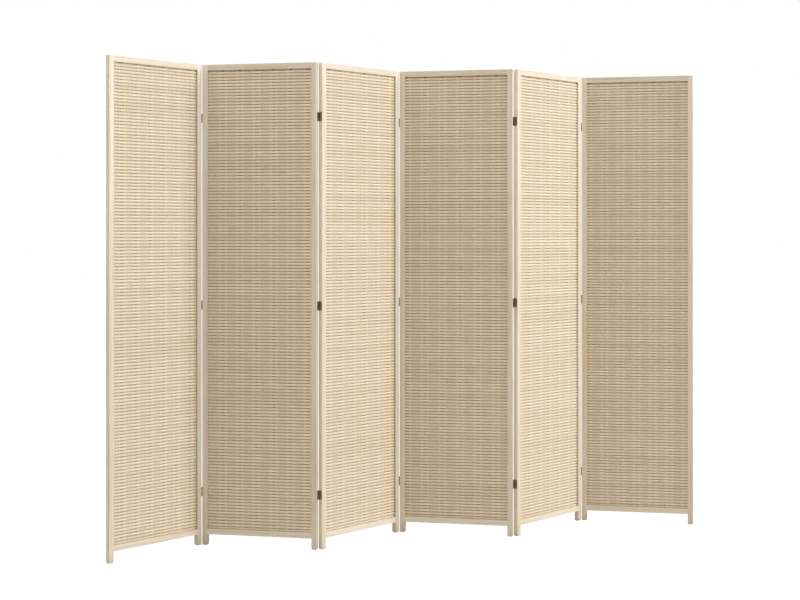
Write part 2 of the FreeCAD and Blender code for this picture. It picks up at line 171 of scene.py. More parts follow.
class WeaveSizes(bpy.types.PropertyGroup):
    """Sizes of the woven bamboo."""

    strip_pitch: length("Strip pitch", 11.5, "Height of one row of weft strips")
    strip_gap: length("Strip gap", 3.0, "Gap between two strips of one layer")
    strip_edge: length("Strip edge", 0.9, "Thickness of a strip at its long edges")
    bow: length("Bow", 0.35, "How far a strip stands out where it passes over a warp strip")
    sway: length("Sway", 0.65, "How far strips wander up and down along their length")
    lift: length("Lift", 2.6, "How far the rows are pushed up towards the top rail")
    pared: length("Pared end", 1.1, "How much thinner a strip is where it enters a groove")
    ripple: length("Ripple", 0.4, "How far strips wander in and out along their length")
    twine_width: length("Twine width", 3.0, "Width of the lacing twine")
    twine_thickness: length("Twine thickness", 1.0, "Thickness of the lacing twine")
    twine_swing: length("Twine swing", 0.9, "How far the twine swings forward and back")
    twine_step: length("Twine step", 5.2, "From the edge of a warp strip to the twine's centre")


class ScreenColours(bpy.types.PropertyGroup):
    """Colours of the finishes."""

    pine: colour("Pine", "ECE0CD", "Lacquered pine of the frames")
    pine_latewood: colour("Pine latewood", "DECAAE", "Darker growth lines of the pine")
    bamboo: colour("Bamboo", "EADCC6", "Skin of the weft strips")
    bamboo_fibre: colour("Bamboo fibre", "DAC8AB", "Darker fibres of the weft strips")
    # partly raw bamboo's own colour, partly painted shade in the valleys between strips
    bamboo_raw: colour("Raw bamboo", "D6C4A6", "Cut edges and inner sides of the weft strips")
    # painted highlight: the lighter crest of a weft strip where it passes over a warp strip
    bamboo_pressed: colour("Pressed bamboo", "EFDFC5", "Weft strips where they cross the warp")
    bamboo_joint: colour("Bamboo joint", "A8834F", "Rings where the cane had its joints")
    warp: colour("Warp bamboo", "C2A168", "Inner face of the warp strips")
    warp_fibre: colour("Warp fibre", "A68856", "Darker fibres of the warp strips")
    twine: colour("Twine", "F1E8D6", "Cotton lacing twine")
    bronze: colour("Bronze", "A8926A", "Bronzed brass of the hinges")
    bronze_patina: colour("Bronze patina", "7A6A4B", "Dark patina of the hinges")
    bronze_rubbed: colour("Rubbed bronze", "CDB484", "Screw heads, rubbed bright by the driver")
    dust: colour("Dust", "A89A84", "Scuffed and dusty wood near the floor")
    floor: colour("Floor", "F4F3F1", "Pale studio floor")


class StageSettings(bpy.types.PropertyGroup):
    """Camera and lights."""

    lens: FloatProperty(name="Lens", description="Focal length in millimetres", default=71.6)
    eye_height: length("Eye height", 1179.7, "Height of the camera above the floor")
    eye_left: length("Eye left", 2012.1, "How far the camera stands left of the screen's middle")
    eye_front: length("Eye front", 5778.2, "How far the camera stands in front of the screen")
    eye_turn: FloatProperty(
        name="Camera turn",
        description="Turn of the level camera to the right, from straight on",
        default=math.radians(18.89),
        unit="ROTATION",
    )
    key_power: watts("Key", 530, "Soft light at the right")
    key_tint: colour("Key tint", "FCFDFF", "Colour of the light at the right, slightly cool")
    left_power: watts("High left", 74, "Soft light high up at the left")
    front_power: watts("High front", 54, "Soft light high up in front")
    back_power: watts("Back", 110, "Soft light behind the screen, for views from the back")
    sky: FloatProperty(name="Sky", description="Strength of the even light", default=0.322)
    sky_tint: colour("Sky tint", "FFFEFA", "Colour of the even light, slightly warm")


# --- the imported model's own measures --------------------------------------------------------------


def node_points(node):
    """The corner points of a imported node."""
    mesh = frame["nodes"][node].data
    points = np.zeros(len(mesh.vertices) * 3)
    mesh.vertices.foreach_get("co", points)
    return points.reshape(-1, 3)


class Panel:
    """Where one panel stands: its middle, its direction, and the spans of its nodes in it."""

    def __init__(self, number):
        self.body = f"panel_{number}"
        ends = []
        for side in ("left", "right"):
            low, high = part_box(f"{self.body}_{side}_stile")
            ends.append((low + high) / 2)
        along = ends[1] - ends[0]
        self.turn = math.atan2(along.y, along.x)
        self.along = Vector((math.cos(self.turn), math.sin(self.turn), 0))
        self.back = Vector((-math.sin(self.turn), math.cos(self.turn), 0))
        self.middle = (ends[0] + ends[1]) / 2
        self.middle.z = 0

    def measure(self, kind, direction):
        """Distances of a node's points from the panel's middle, along a direction."""
        points = node_points(f"{self.body}_{kind}") - np.array(self.middle)
        return points @ np.array(direction)

    def span(self, kind, direction):
        """Lowest and highest of those distances."""
        distances = self.measure(kind, direction)
        return distances.min(), distances.max()

    def opening(self):
        """Left and right edge of the frame's opening, along the panel."""
        return (
            self.span("left_stile", self.along)[1],
            self.span("right_stile", self.along)[0],
        )

    def warp_edges(self):
        """Left and right edge of each warp strip, along the panel."""
        places = self.measure("warp_strips", self.along)
        edges = sorted(set(np.round(places, PLACE_DIGITS)))
        return list(zip(edges[0::2], edges[1::2]))


# --- modelling helpers ----------------------------------------------------------------------------


def deselect_all():
    """Leave nothing selected."""
    bpy.ops.object.select_all(action="DESELECT")


def select_only(thing):
    """Select one object and make it the active one."""
    deselect_all()
    thing.select_set(True)
    bpy.context.view_layer.objects.active = thing


def open_whole(piece):
    """Open a piece for editing, with all of it selected."""
    select_only(piece)
    bpy.ops.object.mode_set(mode="EDIT")
    bpy.ops.mesh.select_all(action="SELECT")


def end_editing():
    """End the editing of a piece."""
    bpy.ops.object.mode_set(mode="OBJECT")


def settle(piece):
    """Put a piece's place and turn into its mesh."""
    select_only(piece)
    bpy.ops.object.transform_apply(location=True, rotation=True, scale=True)


def start_piece(name):
    """Name the primitive that was just added, and open it for editing."""
    piece = bpy.context.active_object
    piece.name = name
    piece.data.name = name
    bpy.ops.object.mode_set(mode="EDIT")
    return piece


def pick(piece, kind, wanted):
    """Select just the vertices, edges or faces of the piece being edited that are wanted."""
    mesh = bmesh.from_edit_mesh(piece.data)
    bpy.ops.mesh.select_mode(type={"verts": "VERT", "edges": "EDGE", "faces": "FACE"}[kind])
    bpy.ops.mesh.select_all(action="DESELECT")
    for element in getattr(mesh, kind):
        if wanted(element):
            element.select_set(True)
    mesh.select_flush_mode()
    bmesh.update_edit_mesh(piece.data)


def runs_along(axis):
    """A test for edges that run along one axis (0, 1 or 2)."""

    def test(edge):
        step = edge.verts[1].co - edge.verts[0].co
        return abs(step[axis]) > SQUARE * step.length

    return test


def cut_across(place):
    """Cut the piece being edited all round at one place along X."""
    bpy.ops.mesh.select_all(action="SELECT")
    bpy.ops.mesh.bisect(plane_co=(place, 0, 0), plane_no=(1, 0, 0))


def ring_at(axis, place):
    """A test for vertices at one place along an axis."""
    return lambda vertex: abs(vertex.co[axis] - place) < SAME_PLACE


def apply_modifiers(piece):
    """Apply every modifier of a piece, in order."""
    select_only(piece)
    for modifier in list(piece.modifiers):
        bpy.ops.object.modifier_apply(modifier=modifier.name)


def stack_up(piece, count, step, merge=False):
    """Repeat a piece upwards with an array; each copy's UV map moves up by one."""
    array = piece.modifiers.new("Rows", "ARRAY")
    array.count = count
    array.use_relative_offset = False
    array.use_constant_offset = True
    array.constant_offset_displace = (0, 0, step)
    array.offset_v = 1
    array.use_merge_vertices = merge
    array.merge_threshold = JOIN_DISTANCE
    apply_modifiers(piece)


def copy_piece(piece, name):
    """A copy with a mesh of its own."""
    twin = piece.copy()
    twin.data = piece.data.copy()
    twin.name = name
    twin.data.name = name
    bpy.context.collection.objects.link(twin)
    return twin


def join_pieces(pieces, name):
    """Make several objects one piece."""
    select_only(pieces[0])
    for piece in pieces[1:]:
        piece.select_set(True)
    if len(pieces) > 1:
        bpy.ops.object.join()
    joined = bpy.context.active_object
    joined.name = name
    joined.data.name = name
    return joined


def stand_in_panel(piece, panel):
    """Put a piece that was modelled about a panel's middle where that panel stands."""
    piece.location = panel.middle
    piece.rotation_euler = (0, 0, panel.turn)
    settle(piece)


def roughen(piece, name, direction, strength, grain):
    """Move a piece's points a little along one axis, by a smooth pattern of a given grain."""
    pattern = bpy.data.textures.get(name) or bpy.data.textures.new(name, "CLOUDS")
    pattern.noise_scale = grain
    displace = piece.modifiers.new(name, "DISPLACE")
    displace.texture = pattern
    displace.texture_coords = "LOCAL"
    displace.direction = direction
    displace.strength = strength
    displace.mid_level = 0.5
    apply_modifiers(piece)


# --- the weave ------------------------------------------------------------------------------------


def crossings(warp_edges):
    """Places along a strip where it crosses a warp strip, and midway between two of them."""
    crests = [(left + right) / 2 for left, right in warp_edges]
    hollows = [(first + second) / 2 for first, second in zip(crests, crests[1:])]
    return crests, hollows


def model_strip(name, panel, thickness, height, sizes):
    """One weft strip, its flat side at y = 0 and its rounded skin towards -Y, centred on z = 0."""
    low, high = panel.span("weft_strips", panel.along)
    crests, hollows = crossings(panel.warp_edges())
    deselect_all()
    bpy.ops.mesh.primitive_cube_add(size=1)
    strip = start_piece(name)
    bpy.ops.transform.resize(value=(high - low, sizes.strip_edge, height))
    bpy.ops.transform.translate(value=((low + high) / 2, -sizes.strip_edge / 2, 0))

    pick(strip, "faces", lambda face: face.normal.y < -SQUARE)
    crown = thickness - sizes.strip_edge
    bpy.ops.mesh.extrude_region_move(TRANSFORM_OT_translate={"value": (0, -crown, 0)})
    bpy.ops.transform.resize(value=(1, 1, SKIN_SHARE))

    # the ends are pared where they enter the grooves of the stiles
    left, right = panel.opening()
    for place in (left, left + PARING_RUN, right - PARING_RUN, right):
        cut_across(place)
    pick(strip, "verts", lambda vertex: not left < vertex.co.x < right)
    bpy.ops.transform.resize(
        value=(1, 1 - sizes.pared / thickness, 1), center_override=(0, 0, 0)
    )
    for place in crests + hollows:
        cut_across(place)
    for place in crests:
        pick(strip, "verts", ring_at(0, place))
        bpy.ops.transform.translate(value=(0, -sizes.bow, 0))
    end_editing()
    bpy.ops.object.shade_smooth_by_angle(angle=SMOOTH_ANGLE)
    map_strip(strip, height)
    return strip


def map_strip(strip, height):
    """Give a strip or twine a UV map: u in metres along it, v from 0.1 to 0.9 over its height.

    On its flat side, which is raw like its edges, v stays below 0.1, so that it takes the darker raw
    colour, painted shade for the gaps between strips.
    """
    mesh = strip.data
    layer = mesh.uv_layers.get(WEAVE_UV) or mesh.uv_layers.new(name=WEAVE_UV)
    for face in mesh.polygons:
        middle, span = FLAT_SIDE_V if face.normal.y > FACING_BACK else SKIN_V
        for loop in face.loop_indices:
            point = mesh.vertices[mesh.loops[loop].vertex_index].co
            layer.data[loop].uv = (point.x, middle + span * point.z / height)


def model_twine(name, pitch, sizes):
    """One wave of the lacing twine, one row high: forward in the gaps of the front strips."""
    deselect_all()
    radius = sizes.twine_width / 2
    bpy.ops.mesh.primitive_cylinder_add(
        vertices=TWINE_SIDES, radius=radius, depth=pitch, end_fill_type="NOTHING"
    )
    twine = start_piece(name)
    bpy.ops.transform.resize(value=(1, sizes.twine_thickness / sizes.twine_width, 1))
    pick(twine, "edges", runs_along(2))
    bpy.ops.mesh.subdivide(number_cuts=WAVE_STEPS - 1)
    for step in range(WAVE_STEPS + 1):
        place = (step - WAVE_STEPS / 2) * pitch / WAVE_STEPS
        out = math.cos(2 * math.pi * place / pitch)
        pick(twine, "verts", ring_at(2, place))
        bpy.ops.transform.translate(value=(0, -out * sizes.twine_swing, 0))
    end_editing()
    bpy.ops.object.shade_smooth()
    map_strip(twine, pitch)
    return twine


def close_ends(piece):
    """Fill the open ends of the twine."""
    open_whole(piece)
    bpy.ops.mesh.fill_holes(sides=TWINE_SIDES)
    end_editing()


def rows_of(panel, sizes):
    """Number of rows of a panel's weave, the height of one, and the height of the first's base."""
    low, high = panel.span("weft_strips", UP)
    rows = max(1, round((high - low) / sizes.strip_pitch))
    return rows, (high - low) / rows, low + sizes.lift


def turn_over(piece):
    """Turn a piece about X, back to front."""
    open_whole(piece)
    bpy.ops.transform.rotate(value=math.pi, orient_axis="X", center_override=(0, 0, 0))
    end_editing()


def slim_down(piece, thickness, height):
    """Leave shares of a strip's thickness and height; its flat side and its middle stay."""
    open_whole(piece)
    bpy.ops.transform.resize(value=(1, thickness, height), center_override=(0, 0, 0))
    end_editing()


def weave_panel(panel, sizes):
    """Both layers of a panel's weft; the front strips at the rails are slim, to enter them."""
    rows, pitch, base = rows_of(panel, sizes)
    outer = panel.span("weft_strips", panel.back)[1]
    inner = panel.span("warp_strips", panel.back)[1]
    front = model_strip("strip_front", panel, outer - inner, pitch - sizes.strip_gap, sizes)
    back = copy_piece(front, "strip_back")
    turn_over(back)
    lowest = copy_piece(front, "strip_lowest")
    highest = copy_piece(front, "strip_highest")
    slim_down(lowest, SLIM_THICKNESS, 1)
    slim_down(highest, SLIM_THICKNESS, SLIM_HEIGHT)

    # each layer's first strip, its depth, its height in rows, and the number of strips
    layers = (
        (front, -inner, 1.5, rows - 2),
        (back, inner, 1, rows - 1),
        (lowest, -inner, 0.5, 1),
        (highest, -inner, rows - 0.45, 1),
    )
    for strip, depth, first, count in layers:
        strip.location = (0, depth, base + first * pitch)
        settle(strip)
        stack_up(strip, count, pitch)
    weave = join_pieces([front, back, lowest, highest], f"{panel.body}_weave")
    stand_in_panel(weave, panel)
    roughen(weave, "strip_sway", "Z", sizes.sway, SWAY_GRAIN)
    roughen(weave, "strip_ripple", "Y", sizes.ripple, RIPPLE_GRAIN)
    return weave


def lace_panel(panel, sizes):
    """The twine that runs up each side of every warp strip, where the frame leaves it room."""
    rows, pitch, base = rows_of(panel, sizes)
    master = model_twine("twine", pitch, sizes)
    master.location = (0, 0, base + pitch)
    settle(master)
    stack_up(master, rows - 1, pitch, merge=True)
    close_ends(master)
    runs = []
    first, last = panel.opening()
    for left, right in panel.warp_edges():
        for place in (left - sizes.twine_step, right + sizes.twine_step):
            if first + sizes.twine_width < place < last - sizes.twine_width:
                run = copy_piece(master, "twine_run")
                run.location = (place, 0, 0)
                settle(run)
                runs.append(run)
    bpy.data.objects.remove(master)
    lacing = join_pieces(runs, f"{panel.body}_lacing")
    stand_in_panel(lacing, panel)
    return lacing


# --- materials ------------------------------------------------------------------------------------


def add(tree, kind, inputs=None, out=0, stops=(), **settings):
    """Add a shader node; inputs take values or other nodes' results, stops are a ramp's colours."""
    node = tree.nodes.new(kind)
    for name, value in settings.items():
        setattr(node, name, value)
    for number, (place, tone) in enumerate(stops):
        if number == len(node.color_ramp.elements):
            node.color_ramp.elements.new(place)
        node.color_ramp.elements[number].position = place
        node.color_ramp.elements[number].color = tone
    for name, source in (inputs or {}).items():
        if isinstance(source, bpy.types.NodeSocket):
            tree.links.new(source, node.inputs[name])
        else:
            node.inputs[name].default_value = source
    return node.outputs[out] if node.outputs else node


def new_material(name):
    """An empty node material."""
    material = bpy.data.materials.new(name)
    material.use_nodes = True
    material.node_tree.nodes.clear()
    return material, material.node_tree


def opaque(tone):
    """A colour with full alpha."""
    return (*tone, 1)


def along_grain(tree, turn, upright, width, run):
    """Object coordinates turned to the timber, in units of a growth line's width and its run."""
    turned = add(
        tree,
        "ShaderNodeMapping",
        {"Vector": add(tree, "ShaderNodeTexCoord", out="Object"), "Rotation": (0, 0, -turn)},
    )
    scale = (1 / width, 1 / width, 1 / run) if upright else (1 / run, 1 / width, 1 / width)
    return add(tree, "ShaderNodeMapping", {"Vector": turned, "Scale": scale})


def lacquered_pine(name, turn, upright, colours):
    """Planed pine under clear satin lacquer: pale, finely lined along the grain, softly shiny."""
    material, tree = new_material(name)
    place = add(tree, "ShaderNodeTexCoord", out="Object")
    # growth lines 2.2 mm apart, broader bands of 14 mm
    fine = along_grain(tree, turn, upright, 2.2 * MM, 160 * MM)
    fine = {"Vector": fine, "Scale": 1, "Detail": 3, "Roughness": 0.6}
    fine = add(tree, "ShaderNodeTexNoise", fine)
    broad = along_grain(tree, turn, upright, 14 * MM, 500 * MM)
    broad = add(tree, "ShaderNodeTexNoise", {"Vector": broad, "Scale": 1, "Detail": 1})
    grain = add(tree, "ShaderNodeMix", {"Factor": 0.4, "A": fine, "B": broad})
    stops = ((0.38, opaque(colours.pine_latewood)), (0.52, opaque(colours.pine)))
    wood = add(tree, "ShaderNodeValToRGB", {"Fac": grain}, stops=stops)

    # boards differ a little in tone, over about 350 mm
    tone = {"Vector": place, "Scale": 1 / (350 * MM), "Detail": 0}
    tone = add(tree, "ShaderNodeTexNoise", tone)
    darker = {"Factor": 1, MIX_A: wood, MIX_B: DARKER_BOARD}
    darker = add(tree, "ShaderNodeMix", darker, MIXED, data_type="RGBA", blend_type="MULTIPLY")
    wood = {"Factor": tone, MIX_A: wood, MIX_B: darker}
    wood = add(tree, "ShaderNodeMix", wood, MIXED, data_type="RGBA")

    # painted shade: uprights get darker and yellower towards the floor, standing in for light that
    # falls off lower down; rails get a fixed darker tone, more on the top rail than on the bottom one
    height = add(tree, "ShaderNodeSeparateXYZ", {"Vector": place}, "Z")
    top, bottom = (0, 1) if upright else (0.85, 0.3)
    shade_share = {"Value": height, "From Min": SCREEN_TOP, "From Max": 0, "To Min": top, "To Max": bottom}
    shade_share = add(tree, "ShaderNodeMapRange", shade_share)
    wood = {"Factor": shade_share, MIX_A: wood, MIX_B: FALLOFF_SHADE_TINT}
    wood = add(tree, "ShaderNodeMix", wood, MIXED, data_type="RGBA", blend_type="MULTIPLY")

    # sweeping has scuffed and greyed the lowest 45 mm, in patches of about 6 mm
    low = {"Value": height, "From Min": 45 * MM, "From Max": 0, "To Min": 0, "To Max": 0.5}
    low = add(tree, "ShaderNodeMapRange", low)
    patch = add(tree, "ShaderNodeTexNoise", {"Vector": place, "Scale": 1 / (6 * MM), "Detail": 2})
    scuff = add(tree, "ShaderNodeMath", {0: low, 1: patch}, operation="MULTIPLY")
    wood = {"Factor": scuff, MIX_A: wood, MIX_B: opaque(colours.dust)}
    wood = add(tree, "ShaderNodeMix", wood, MIXED, data_type="RGBA")

    rough = {"Value": fine, "To Min": 0.44, "To Max": 0.6}
    shader = {
        "Base Color": wood,
        "Roughness": add(tree, "ShaderNodeMapRange", rough),
        "Specular IOR Level": 0.8,
        "Coat Weight": 0.12,
        "Coat Roughness": 0.35,
        "Normal": add(tree, "ShaderNodeBump", {"Height": fine, "Distance": 0.06 * MM}),
    }
    surface = add(tree, "ShaderNodeBsdfPrincipled", shader)
    add(tree, "ShaderNodeOutputMaterial", {"Surface": surface})
    return material


def split_bamboo(name, colours, seed, first_warp, warp_pitch):
    """Split bamboo, its natural skin outwards: silky, finely fibred, with a few joints."""
    material, tree = new_material(name)
    uv = add(tree, "ShaderNodeUVMap", uv_map=WEAVE_UV)
    along = add(tree, "ShaderNodeSeparateXYZ", {"Vector": uv})
    stacked = along.node.outputs["Y"]
    across = add(tree, "ShaderNodeMath", {0: stacked}, operation="FRACT")
    row = add(tree, "ShaderNodeMath", {0: stacked}, operation="FLOOR")
    row = add(tree, "ShaderNodeMath", {0: row, 1: seed}, operation="ADD")
    chance = add(tree, "ShaderNodeTexWhiteNoise", {"W": row}, noise_dimensions="1D")

    # fibres: 20 lines, each 0.4 mm wide and some 60 mm long, other ones in each row
    fibre = {
        "X": add(tree, "ShaderNodeMath", {0: along, 1: 60 * MM}, operation="DIVIDE"),
        "Y": add(tree, "ShaderNodeMath", {0: across, 1: 20}, operation="MULTIPLY"),
        "Z": add(tree, "ShaderNodeMath", {0: row, 1: 7.3}, operation="MULTIPLY"),
    }
    fibre = add(tree, "ShaderNodeCombineXYZ", fibre)
    fibre = add(tree, "ShaderNodeTexNoise", {"Vector": fibre, "Scale": 1, "Detail": 2})
    stops = ((0.3, opaque(colours.bamboo_fibre)), (0.55, opaque(colours.bamboo)))
    skin = add(tree, "ShaderNodeValToRGB", {"Fac": fibre}, stops=stops)

    # painted highlight: lighter where the strip crests over a warp strip, some 17 mm to each side,
    # standing in for the light it catches there
    place = add(tree, "ShaderNodeMath", {0: along, 1: first_warp}, operation="SUBTRACT")
    place = add(tree, "ShaderNodeMath", {0: place, 1: warp_pitch / 2}, operation="PINGPONG")
    crest_highlight = {"Value": place, "From Min": 20 * MM, "From Max": 14 * MM}
    crest_highlight = add(tree, "ShaderNodeMapRange", crest_highlight)
    skin = {"Factor": crest_highlight, MIX_A: skin, MIX_B: opaque(colours.bamboo_pressed)}
    skin = add(tree, "ShaderNodeMix", skin, MIXED, data_type="RGBA")

    # each strip has a tone of its own, light more often than dark
    tone = add(tree, "ShaderNodeMath", {0: chance, 1: 1.6}, operation="POWER")
    darker = {"Factor": 1, MIX_A: skin, MIX_B: DARKER_STRIP}
    darker = add(tree, "ShaderNodeMix", darker, MIXED, data_type="RGBA", blend_type="MULTIPLY")
    skin = {"Factor": tone, MIX_A: skin, MIX_B: darker}
    skin = add(tree, "ShaderNodeMix", skin, MIXED, data_type="RGBA")

    # joints of the cane: a ring 2 mm wide every 520 mm, at a place of its own on each strip
    ring = add(tree, "ShaderNodeMath", {0: along, 1: 260 * MM}, operation="DIVIDE")
    ring = add(tree, "ShaderNodeMath", {0: chance, 1: 9.7, 2: ring}, operation="MULTIPLY_ADD")
    ring = add(tree, "ShaderNodeMath", {0: ring, 1: 1}, operation="PINGPONG")
    ring = add(tree, "ShaderNodeMath", {0: ring, 1: 0.004}, operation="LESS_THAN")
    ring = add(tree, "ShaderNodeMath", {0: ring, 1: 0.45}, operation="MULTIPLY")
    skin = {"Factor": ring, MIX_A: skin, MIX_B: opaque(colours.bamboo_joint)}
    skin = add(tree, "ShaderNodeMix", skin, MIXED, data_type="RGBA")

    # the cut edges and the flat inner side are raw and drawn darker than the skin: partly their own
    # duller colour, partly painted shade for the valleys between the strips
    edge = add(tree, "ShaderNodeMath", {0: across, 1: 0.5}, operation="PINGPONG")
    edge = {"Value": edge, "From Min": 0.24, "From Max": 0.10, "To Min": 0, "To Max": 0.65}
    edge = add(tree, "ShaderNodeMapRange", edge)
    skin = {"Factor": edge, MIX_A: skin, MIX_B: opaque(colours.bamboo_raw)}
    skin = add(tree, "ShaderNodeMix", skin, MIXED, data_type="RGBA")

    rough = {"Value": fibre, "To Min": 0.38, "To Max": 0.58}
    shader = {
        "Base Color": skin,
        "Roughness": add(tree, "ShaderNodeMapRange", rough),
        "Specular IOR Level": 0.4,
        "Sheen Weight": 0.25,
        "Sheen Roughness": 0.5,
        "Normal": add(tree, "ShaderNodeBump", {"Height": fibre, "Distance": 0.05 * MM}),
    }
    surface = add(tree, "ShaderNodeBsdfPrincipled", shader)
    add(tree, "ShaderNodeOutputMaterial", {"Surface": surface})
    return material


def toasted_bamboo(name, colours):
    """Toasted bamboo with its inner face out: tan and silky, with coarse upright fibres."""
    material, tree = new_material(name)
    # fibres 0.9 mm wide, running 90 mm
    fibre = along_grain(tree, 0, True, 0.9 * MM, 90 * MM)
    fibre = add(tree, "ShaderNodeTexNoise", {"Vector": fibre, "Scale": 1, "Detail": 3})
    stops = ((0.32, opaque(colours.warp_fibre)), (0.6, opaque(colours.warp)))
    rough = {"Value": fibre, "To Min": 0.5, "To Max": 0.65}
    shader = {
        "Base Color": add(tree, "ShaderNodeValToRGB", {"Fac": fibre}, stops=stops),
        "Roughness": add(tree, "ShaderNodeMapRange", rough),
        "Specular IOR Level": 0.8,
        "Sheen Weight": 0.4,
        "Sheen Roughness": 0.5,
        "Normal": add(tree, "ShaderNodeBump", {"Height": fibre, "Distance": 0.08 * MM}),
    }
    surface = add(tree, "ShaderNodeBsdfPrincipled", shader)
    add(tree, "ShaderNodeOutputMaterial", {"Surface": surface})
    return material


def cotton_twine(name, colours):
    """Two-ply cotton twine: matt and soft, its plies showing as slanting ridges."""
    material, tree = new_material(name)
    # a ply every 2.7 mm up the twine, drawn coarser than the real 1.5 mm so that it shows
    uv = add(tree, "ShaderNodeUVMap", uv_map=WEAVE_UV)
    ply = add(tree, "ShaderNodeMapping", {"Vector": uv, "Scale": (500, 3.3, 1)})
    ply = {"Vector": ply, "Scale": 1, "Distortion": 0.6, "Detail": 1}
    ply = add(tree, "ShaderNodeTexWave", ply, "Fac", bands_direction="DIAGONAL")
    # painted shade: the grooves between the plies are drawn 22 % darker than the twine
    groove = tuple(0.78 * part for part in colours.twine)
    stops = ((0.0, opaque(groove)), (1.0, opaque(colours.twine)))
    rough = {"Value": ply, "To Min": 0.8, "To Max": 0.9}
    shader = {
        "Base Color": add(tree, "ShaderNodeValToRGB", {"Fac": ply}, stops=stops),
        "Roughness": add(tree, "ShaderNodeMapRange", rough),
        "Specular IOR Level": 0.15,
        "Sheen Weight": 0.35,
        "Sheen Roughness": 0.6,
        "Normal": add(tree, "ShaderNodeBump", {"Height": ply, "Distance": 0.2 * MM}),
    }
    surface = add(tree, "ShaderNodeBsdfPrincipled", shader)
    add(tree, "ShaderNodeOutputMaterial", {"Surface": surface})
    return material


def bronzed_brass(name, dark, bright):
    """Brass with antique bronze plating: dull and brown, rubbed brighter in places."""
    material, tree = new_material(name)
    place = add(tree, "ShaderNodeTexCoord", out="Object")
    # rubbed in patches of 5 mm, pitted in specks of 0.7 mm
    patina = add(tree, "ShaderNodeTexNoise", {"Vector": place, "Scale": 1 / (5 * MM), "Detail": 4})
    speck = add(tree, "ShaderNodeTexNoise", {"Vector": place, "Scale": 1 / (0.7 * MM), "Detail": 2})
    stops = ((0.4, opaque(dark)), (0.62, opaque(bright)))
    rough = {"Value": patina, "To Min": 0.42, "To Max": 0.62}
    shader = {
        "Base Color": add(tree, "ShaderNodeValToRGB", {"Fac": patina}, stops=stops),
        "Metallic": 0.6,
        "Roughness": add(tree, "ShaderNodeMapRange", rough),
        "Normal": add(tree, "ShaderNodeBump", {"Height": speck, "Distance": 0.03 * MM}),
    }
    surface = add(tree, "ShaderNodeBsdfPrincipled", shader)
    add(tree, "ShaderNodeOutputMaterial", {"Surface": surface})
    return material


def floor_paint(name, colours):
    """Matt white floor paint, so evenly lit that it shows plain white, with a trace of mottling."""
    material, tree = new_material(name)
    place = add(tree, "ShaderNodeTexCoord", out="Object")
    mottle = add(tree, "ShaderNodeTexNoise", {"Vector": place, "Scale": 3, "Detail": 3})
    worn = opaque(tuple(0.98 * part for part in colours.floor))
    stops = ((0.3, worn), (0.7, opaque(colours.floor)))
    rough = {"Value": mottle, "To Min": 0.8, "To Max": 0.85}
    shader = {
        "Base Color": add(tree, "ShaderNodeValToRGB", {"Fac": mottle}, stops=stops),
        "Roughness": add(tree, "ShaderNodeMapRange", rough),
        "Specular IOR Level": 0.1,
        "Normal": add(tree, "ShaderNodeBump", {"Height": mottle, "Distance": 0.05 * MM}),
    }
    paint = add(tree, "ShaderNodeBsdfPrincipled", shader)
    # the camera sees it mostly by an even white glow, which lights nothing on the screen
    glow = add(tree, "ShaderNodeEmission", {"Color": WHITE, "Strength": 1.2})
    seen = add(tree, "ShaderNodeLightPath", out="Is Camera Ray")
    share = add(tree, "ShaderNodeMath", {0: seen, 1: 0.8}, operation="MULTIPLY")
    surface = add(tree, "ShaderNodeMixShader", {0: share, 1: paint, 2: glow})
    add(tree, "ShaderNodeOutputMaterial", {"Surface": surface})
    return material


def dress(thing, material):
    """Give an object one material all over."""
    thing.data.materials.clear()
    thing.data.materials.append(material)


def dress_node(node, material):
    """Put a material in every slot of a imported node."""
    thing = frame["nodes"][node]
    for slot in thing.material_slots:
        slot.material = material


# --- operators ------------------------------------------------------------------------------------


class WeavePanels(bpy.types.Operator):
    """Weave the bamboo of every panel"""

    bl_idname = "screen_divider.weave_panels"
    bl_label = "Weave Panels"
    bl_options = {"REGISTER", "UNDO"}

    def execute(self, context):
        sizes, colours = context.scene.weave_sizes, context.scene.screen_colours
        for number in range(1, PANELS + 1):
            panel = Panel(number)
            weave = weave_panel(panel, sizes)
            crests, _ = crossings(panel.warp_edges())
            bamboo = split_bamboo(
                f"split_bamboo_{number}", colours, 17 * number, crests[0], crests[1] - crests[0]
            )
            dress(weave, bamboo)
            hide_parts(f"{panel.body}_weft_strips")
            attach(weave, panel.body)
        return {"FINISHED"}


class LacePanels(bpy.types.Operator):
    """Run the lacing twine beside the warp strips"""

    bl_idname = "screen_divider.lace_panels"
    bl_label = "Lace Panels"
    bl_options = {"REGISTER", "UNDO"}

    def execute(self, context):
        sizes = context.scene.weave_sizes
        twine = cotton_twine("cotton_twine", context.scene.screen_colours)
        for number in range(1, PANELS + 1):
            panel = Panel(number)
            lacing = lace_panel(panel, sizes)
            dress(lacing, twine)
            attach(lacing, panel.body)
        return {"FINISHED"}


class FinishFrames(bpy.types.Operator):
    """Lacquer the timber and tone the warp strips"""

    bl_idname = "screen_divider.finish_frames"
    bl_label = "Finish Frames"
    bl_options = {"REGISTER", "UNDO"}

    def execute(self, context):
        colours = context.scene.screen_colours
        stiles = lacquered_pine("lacquered_pine_upright", 0.0, True, colours)
        warp = toasted_bamboo("toasted_bamboo", colours)
        for number in range(1, PANELS + 1):
            panel = Panel(number)
            rails = lacquered_pine(f"lacquered_pine_rails_{number}", panel.turn, False, colours)
            for kind in ("left_stile", "right_stile"):
                dress_node(f"{panel.body}_{kind}", stiles)
            for kind in ("top_rail", "bottom_rail"):
                dress_node(f"{panel.body}_{kind}", rails)
            dress_node(f"{panel.body}_warp_strips", warp)
        return {"FINISHED"}


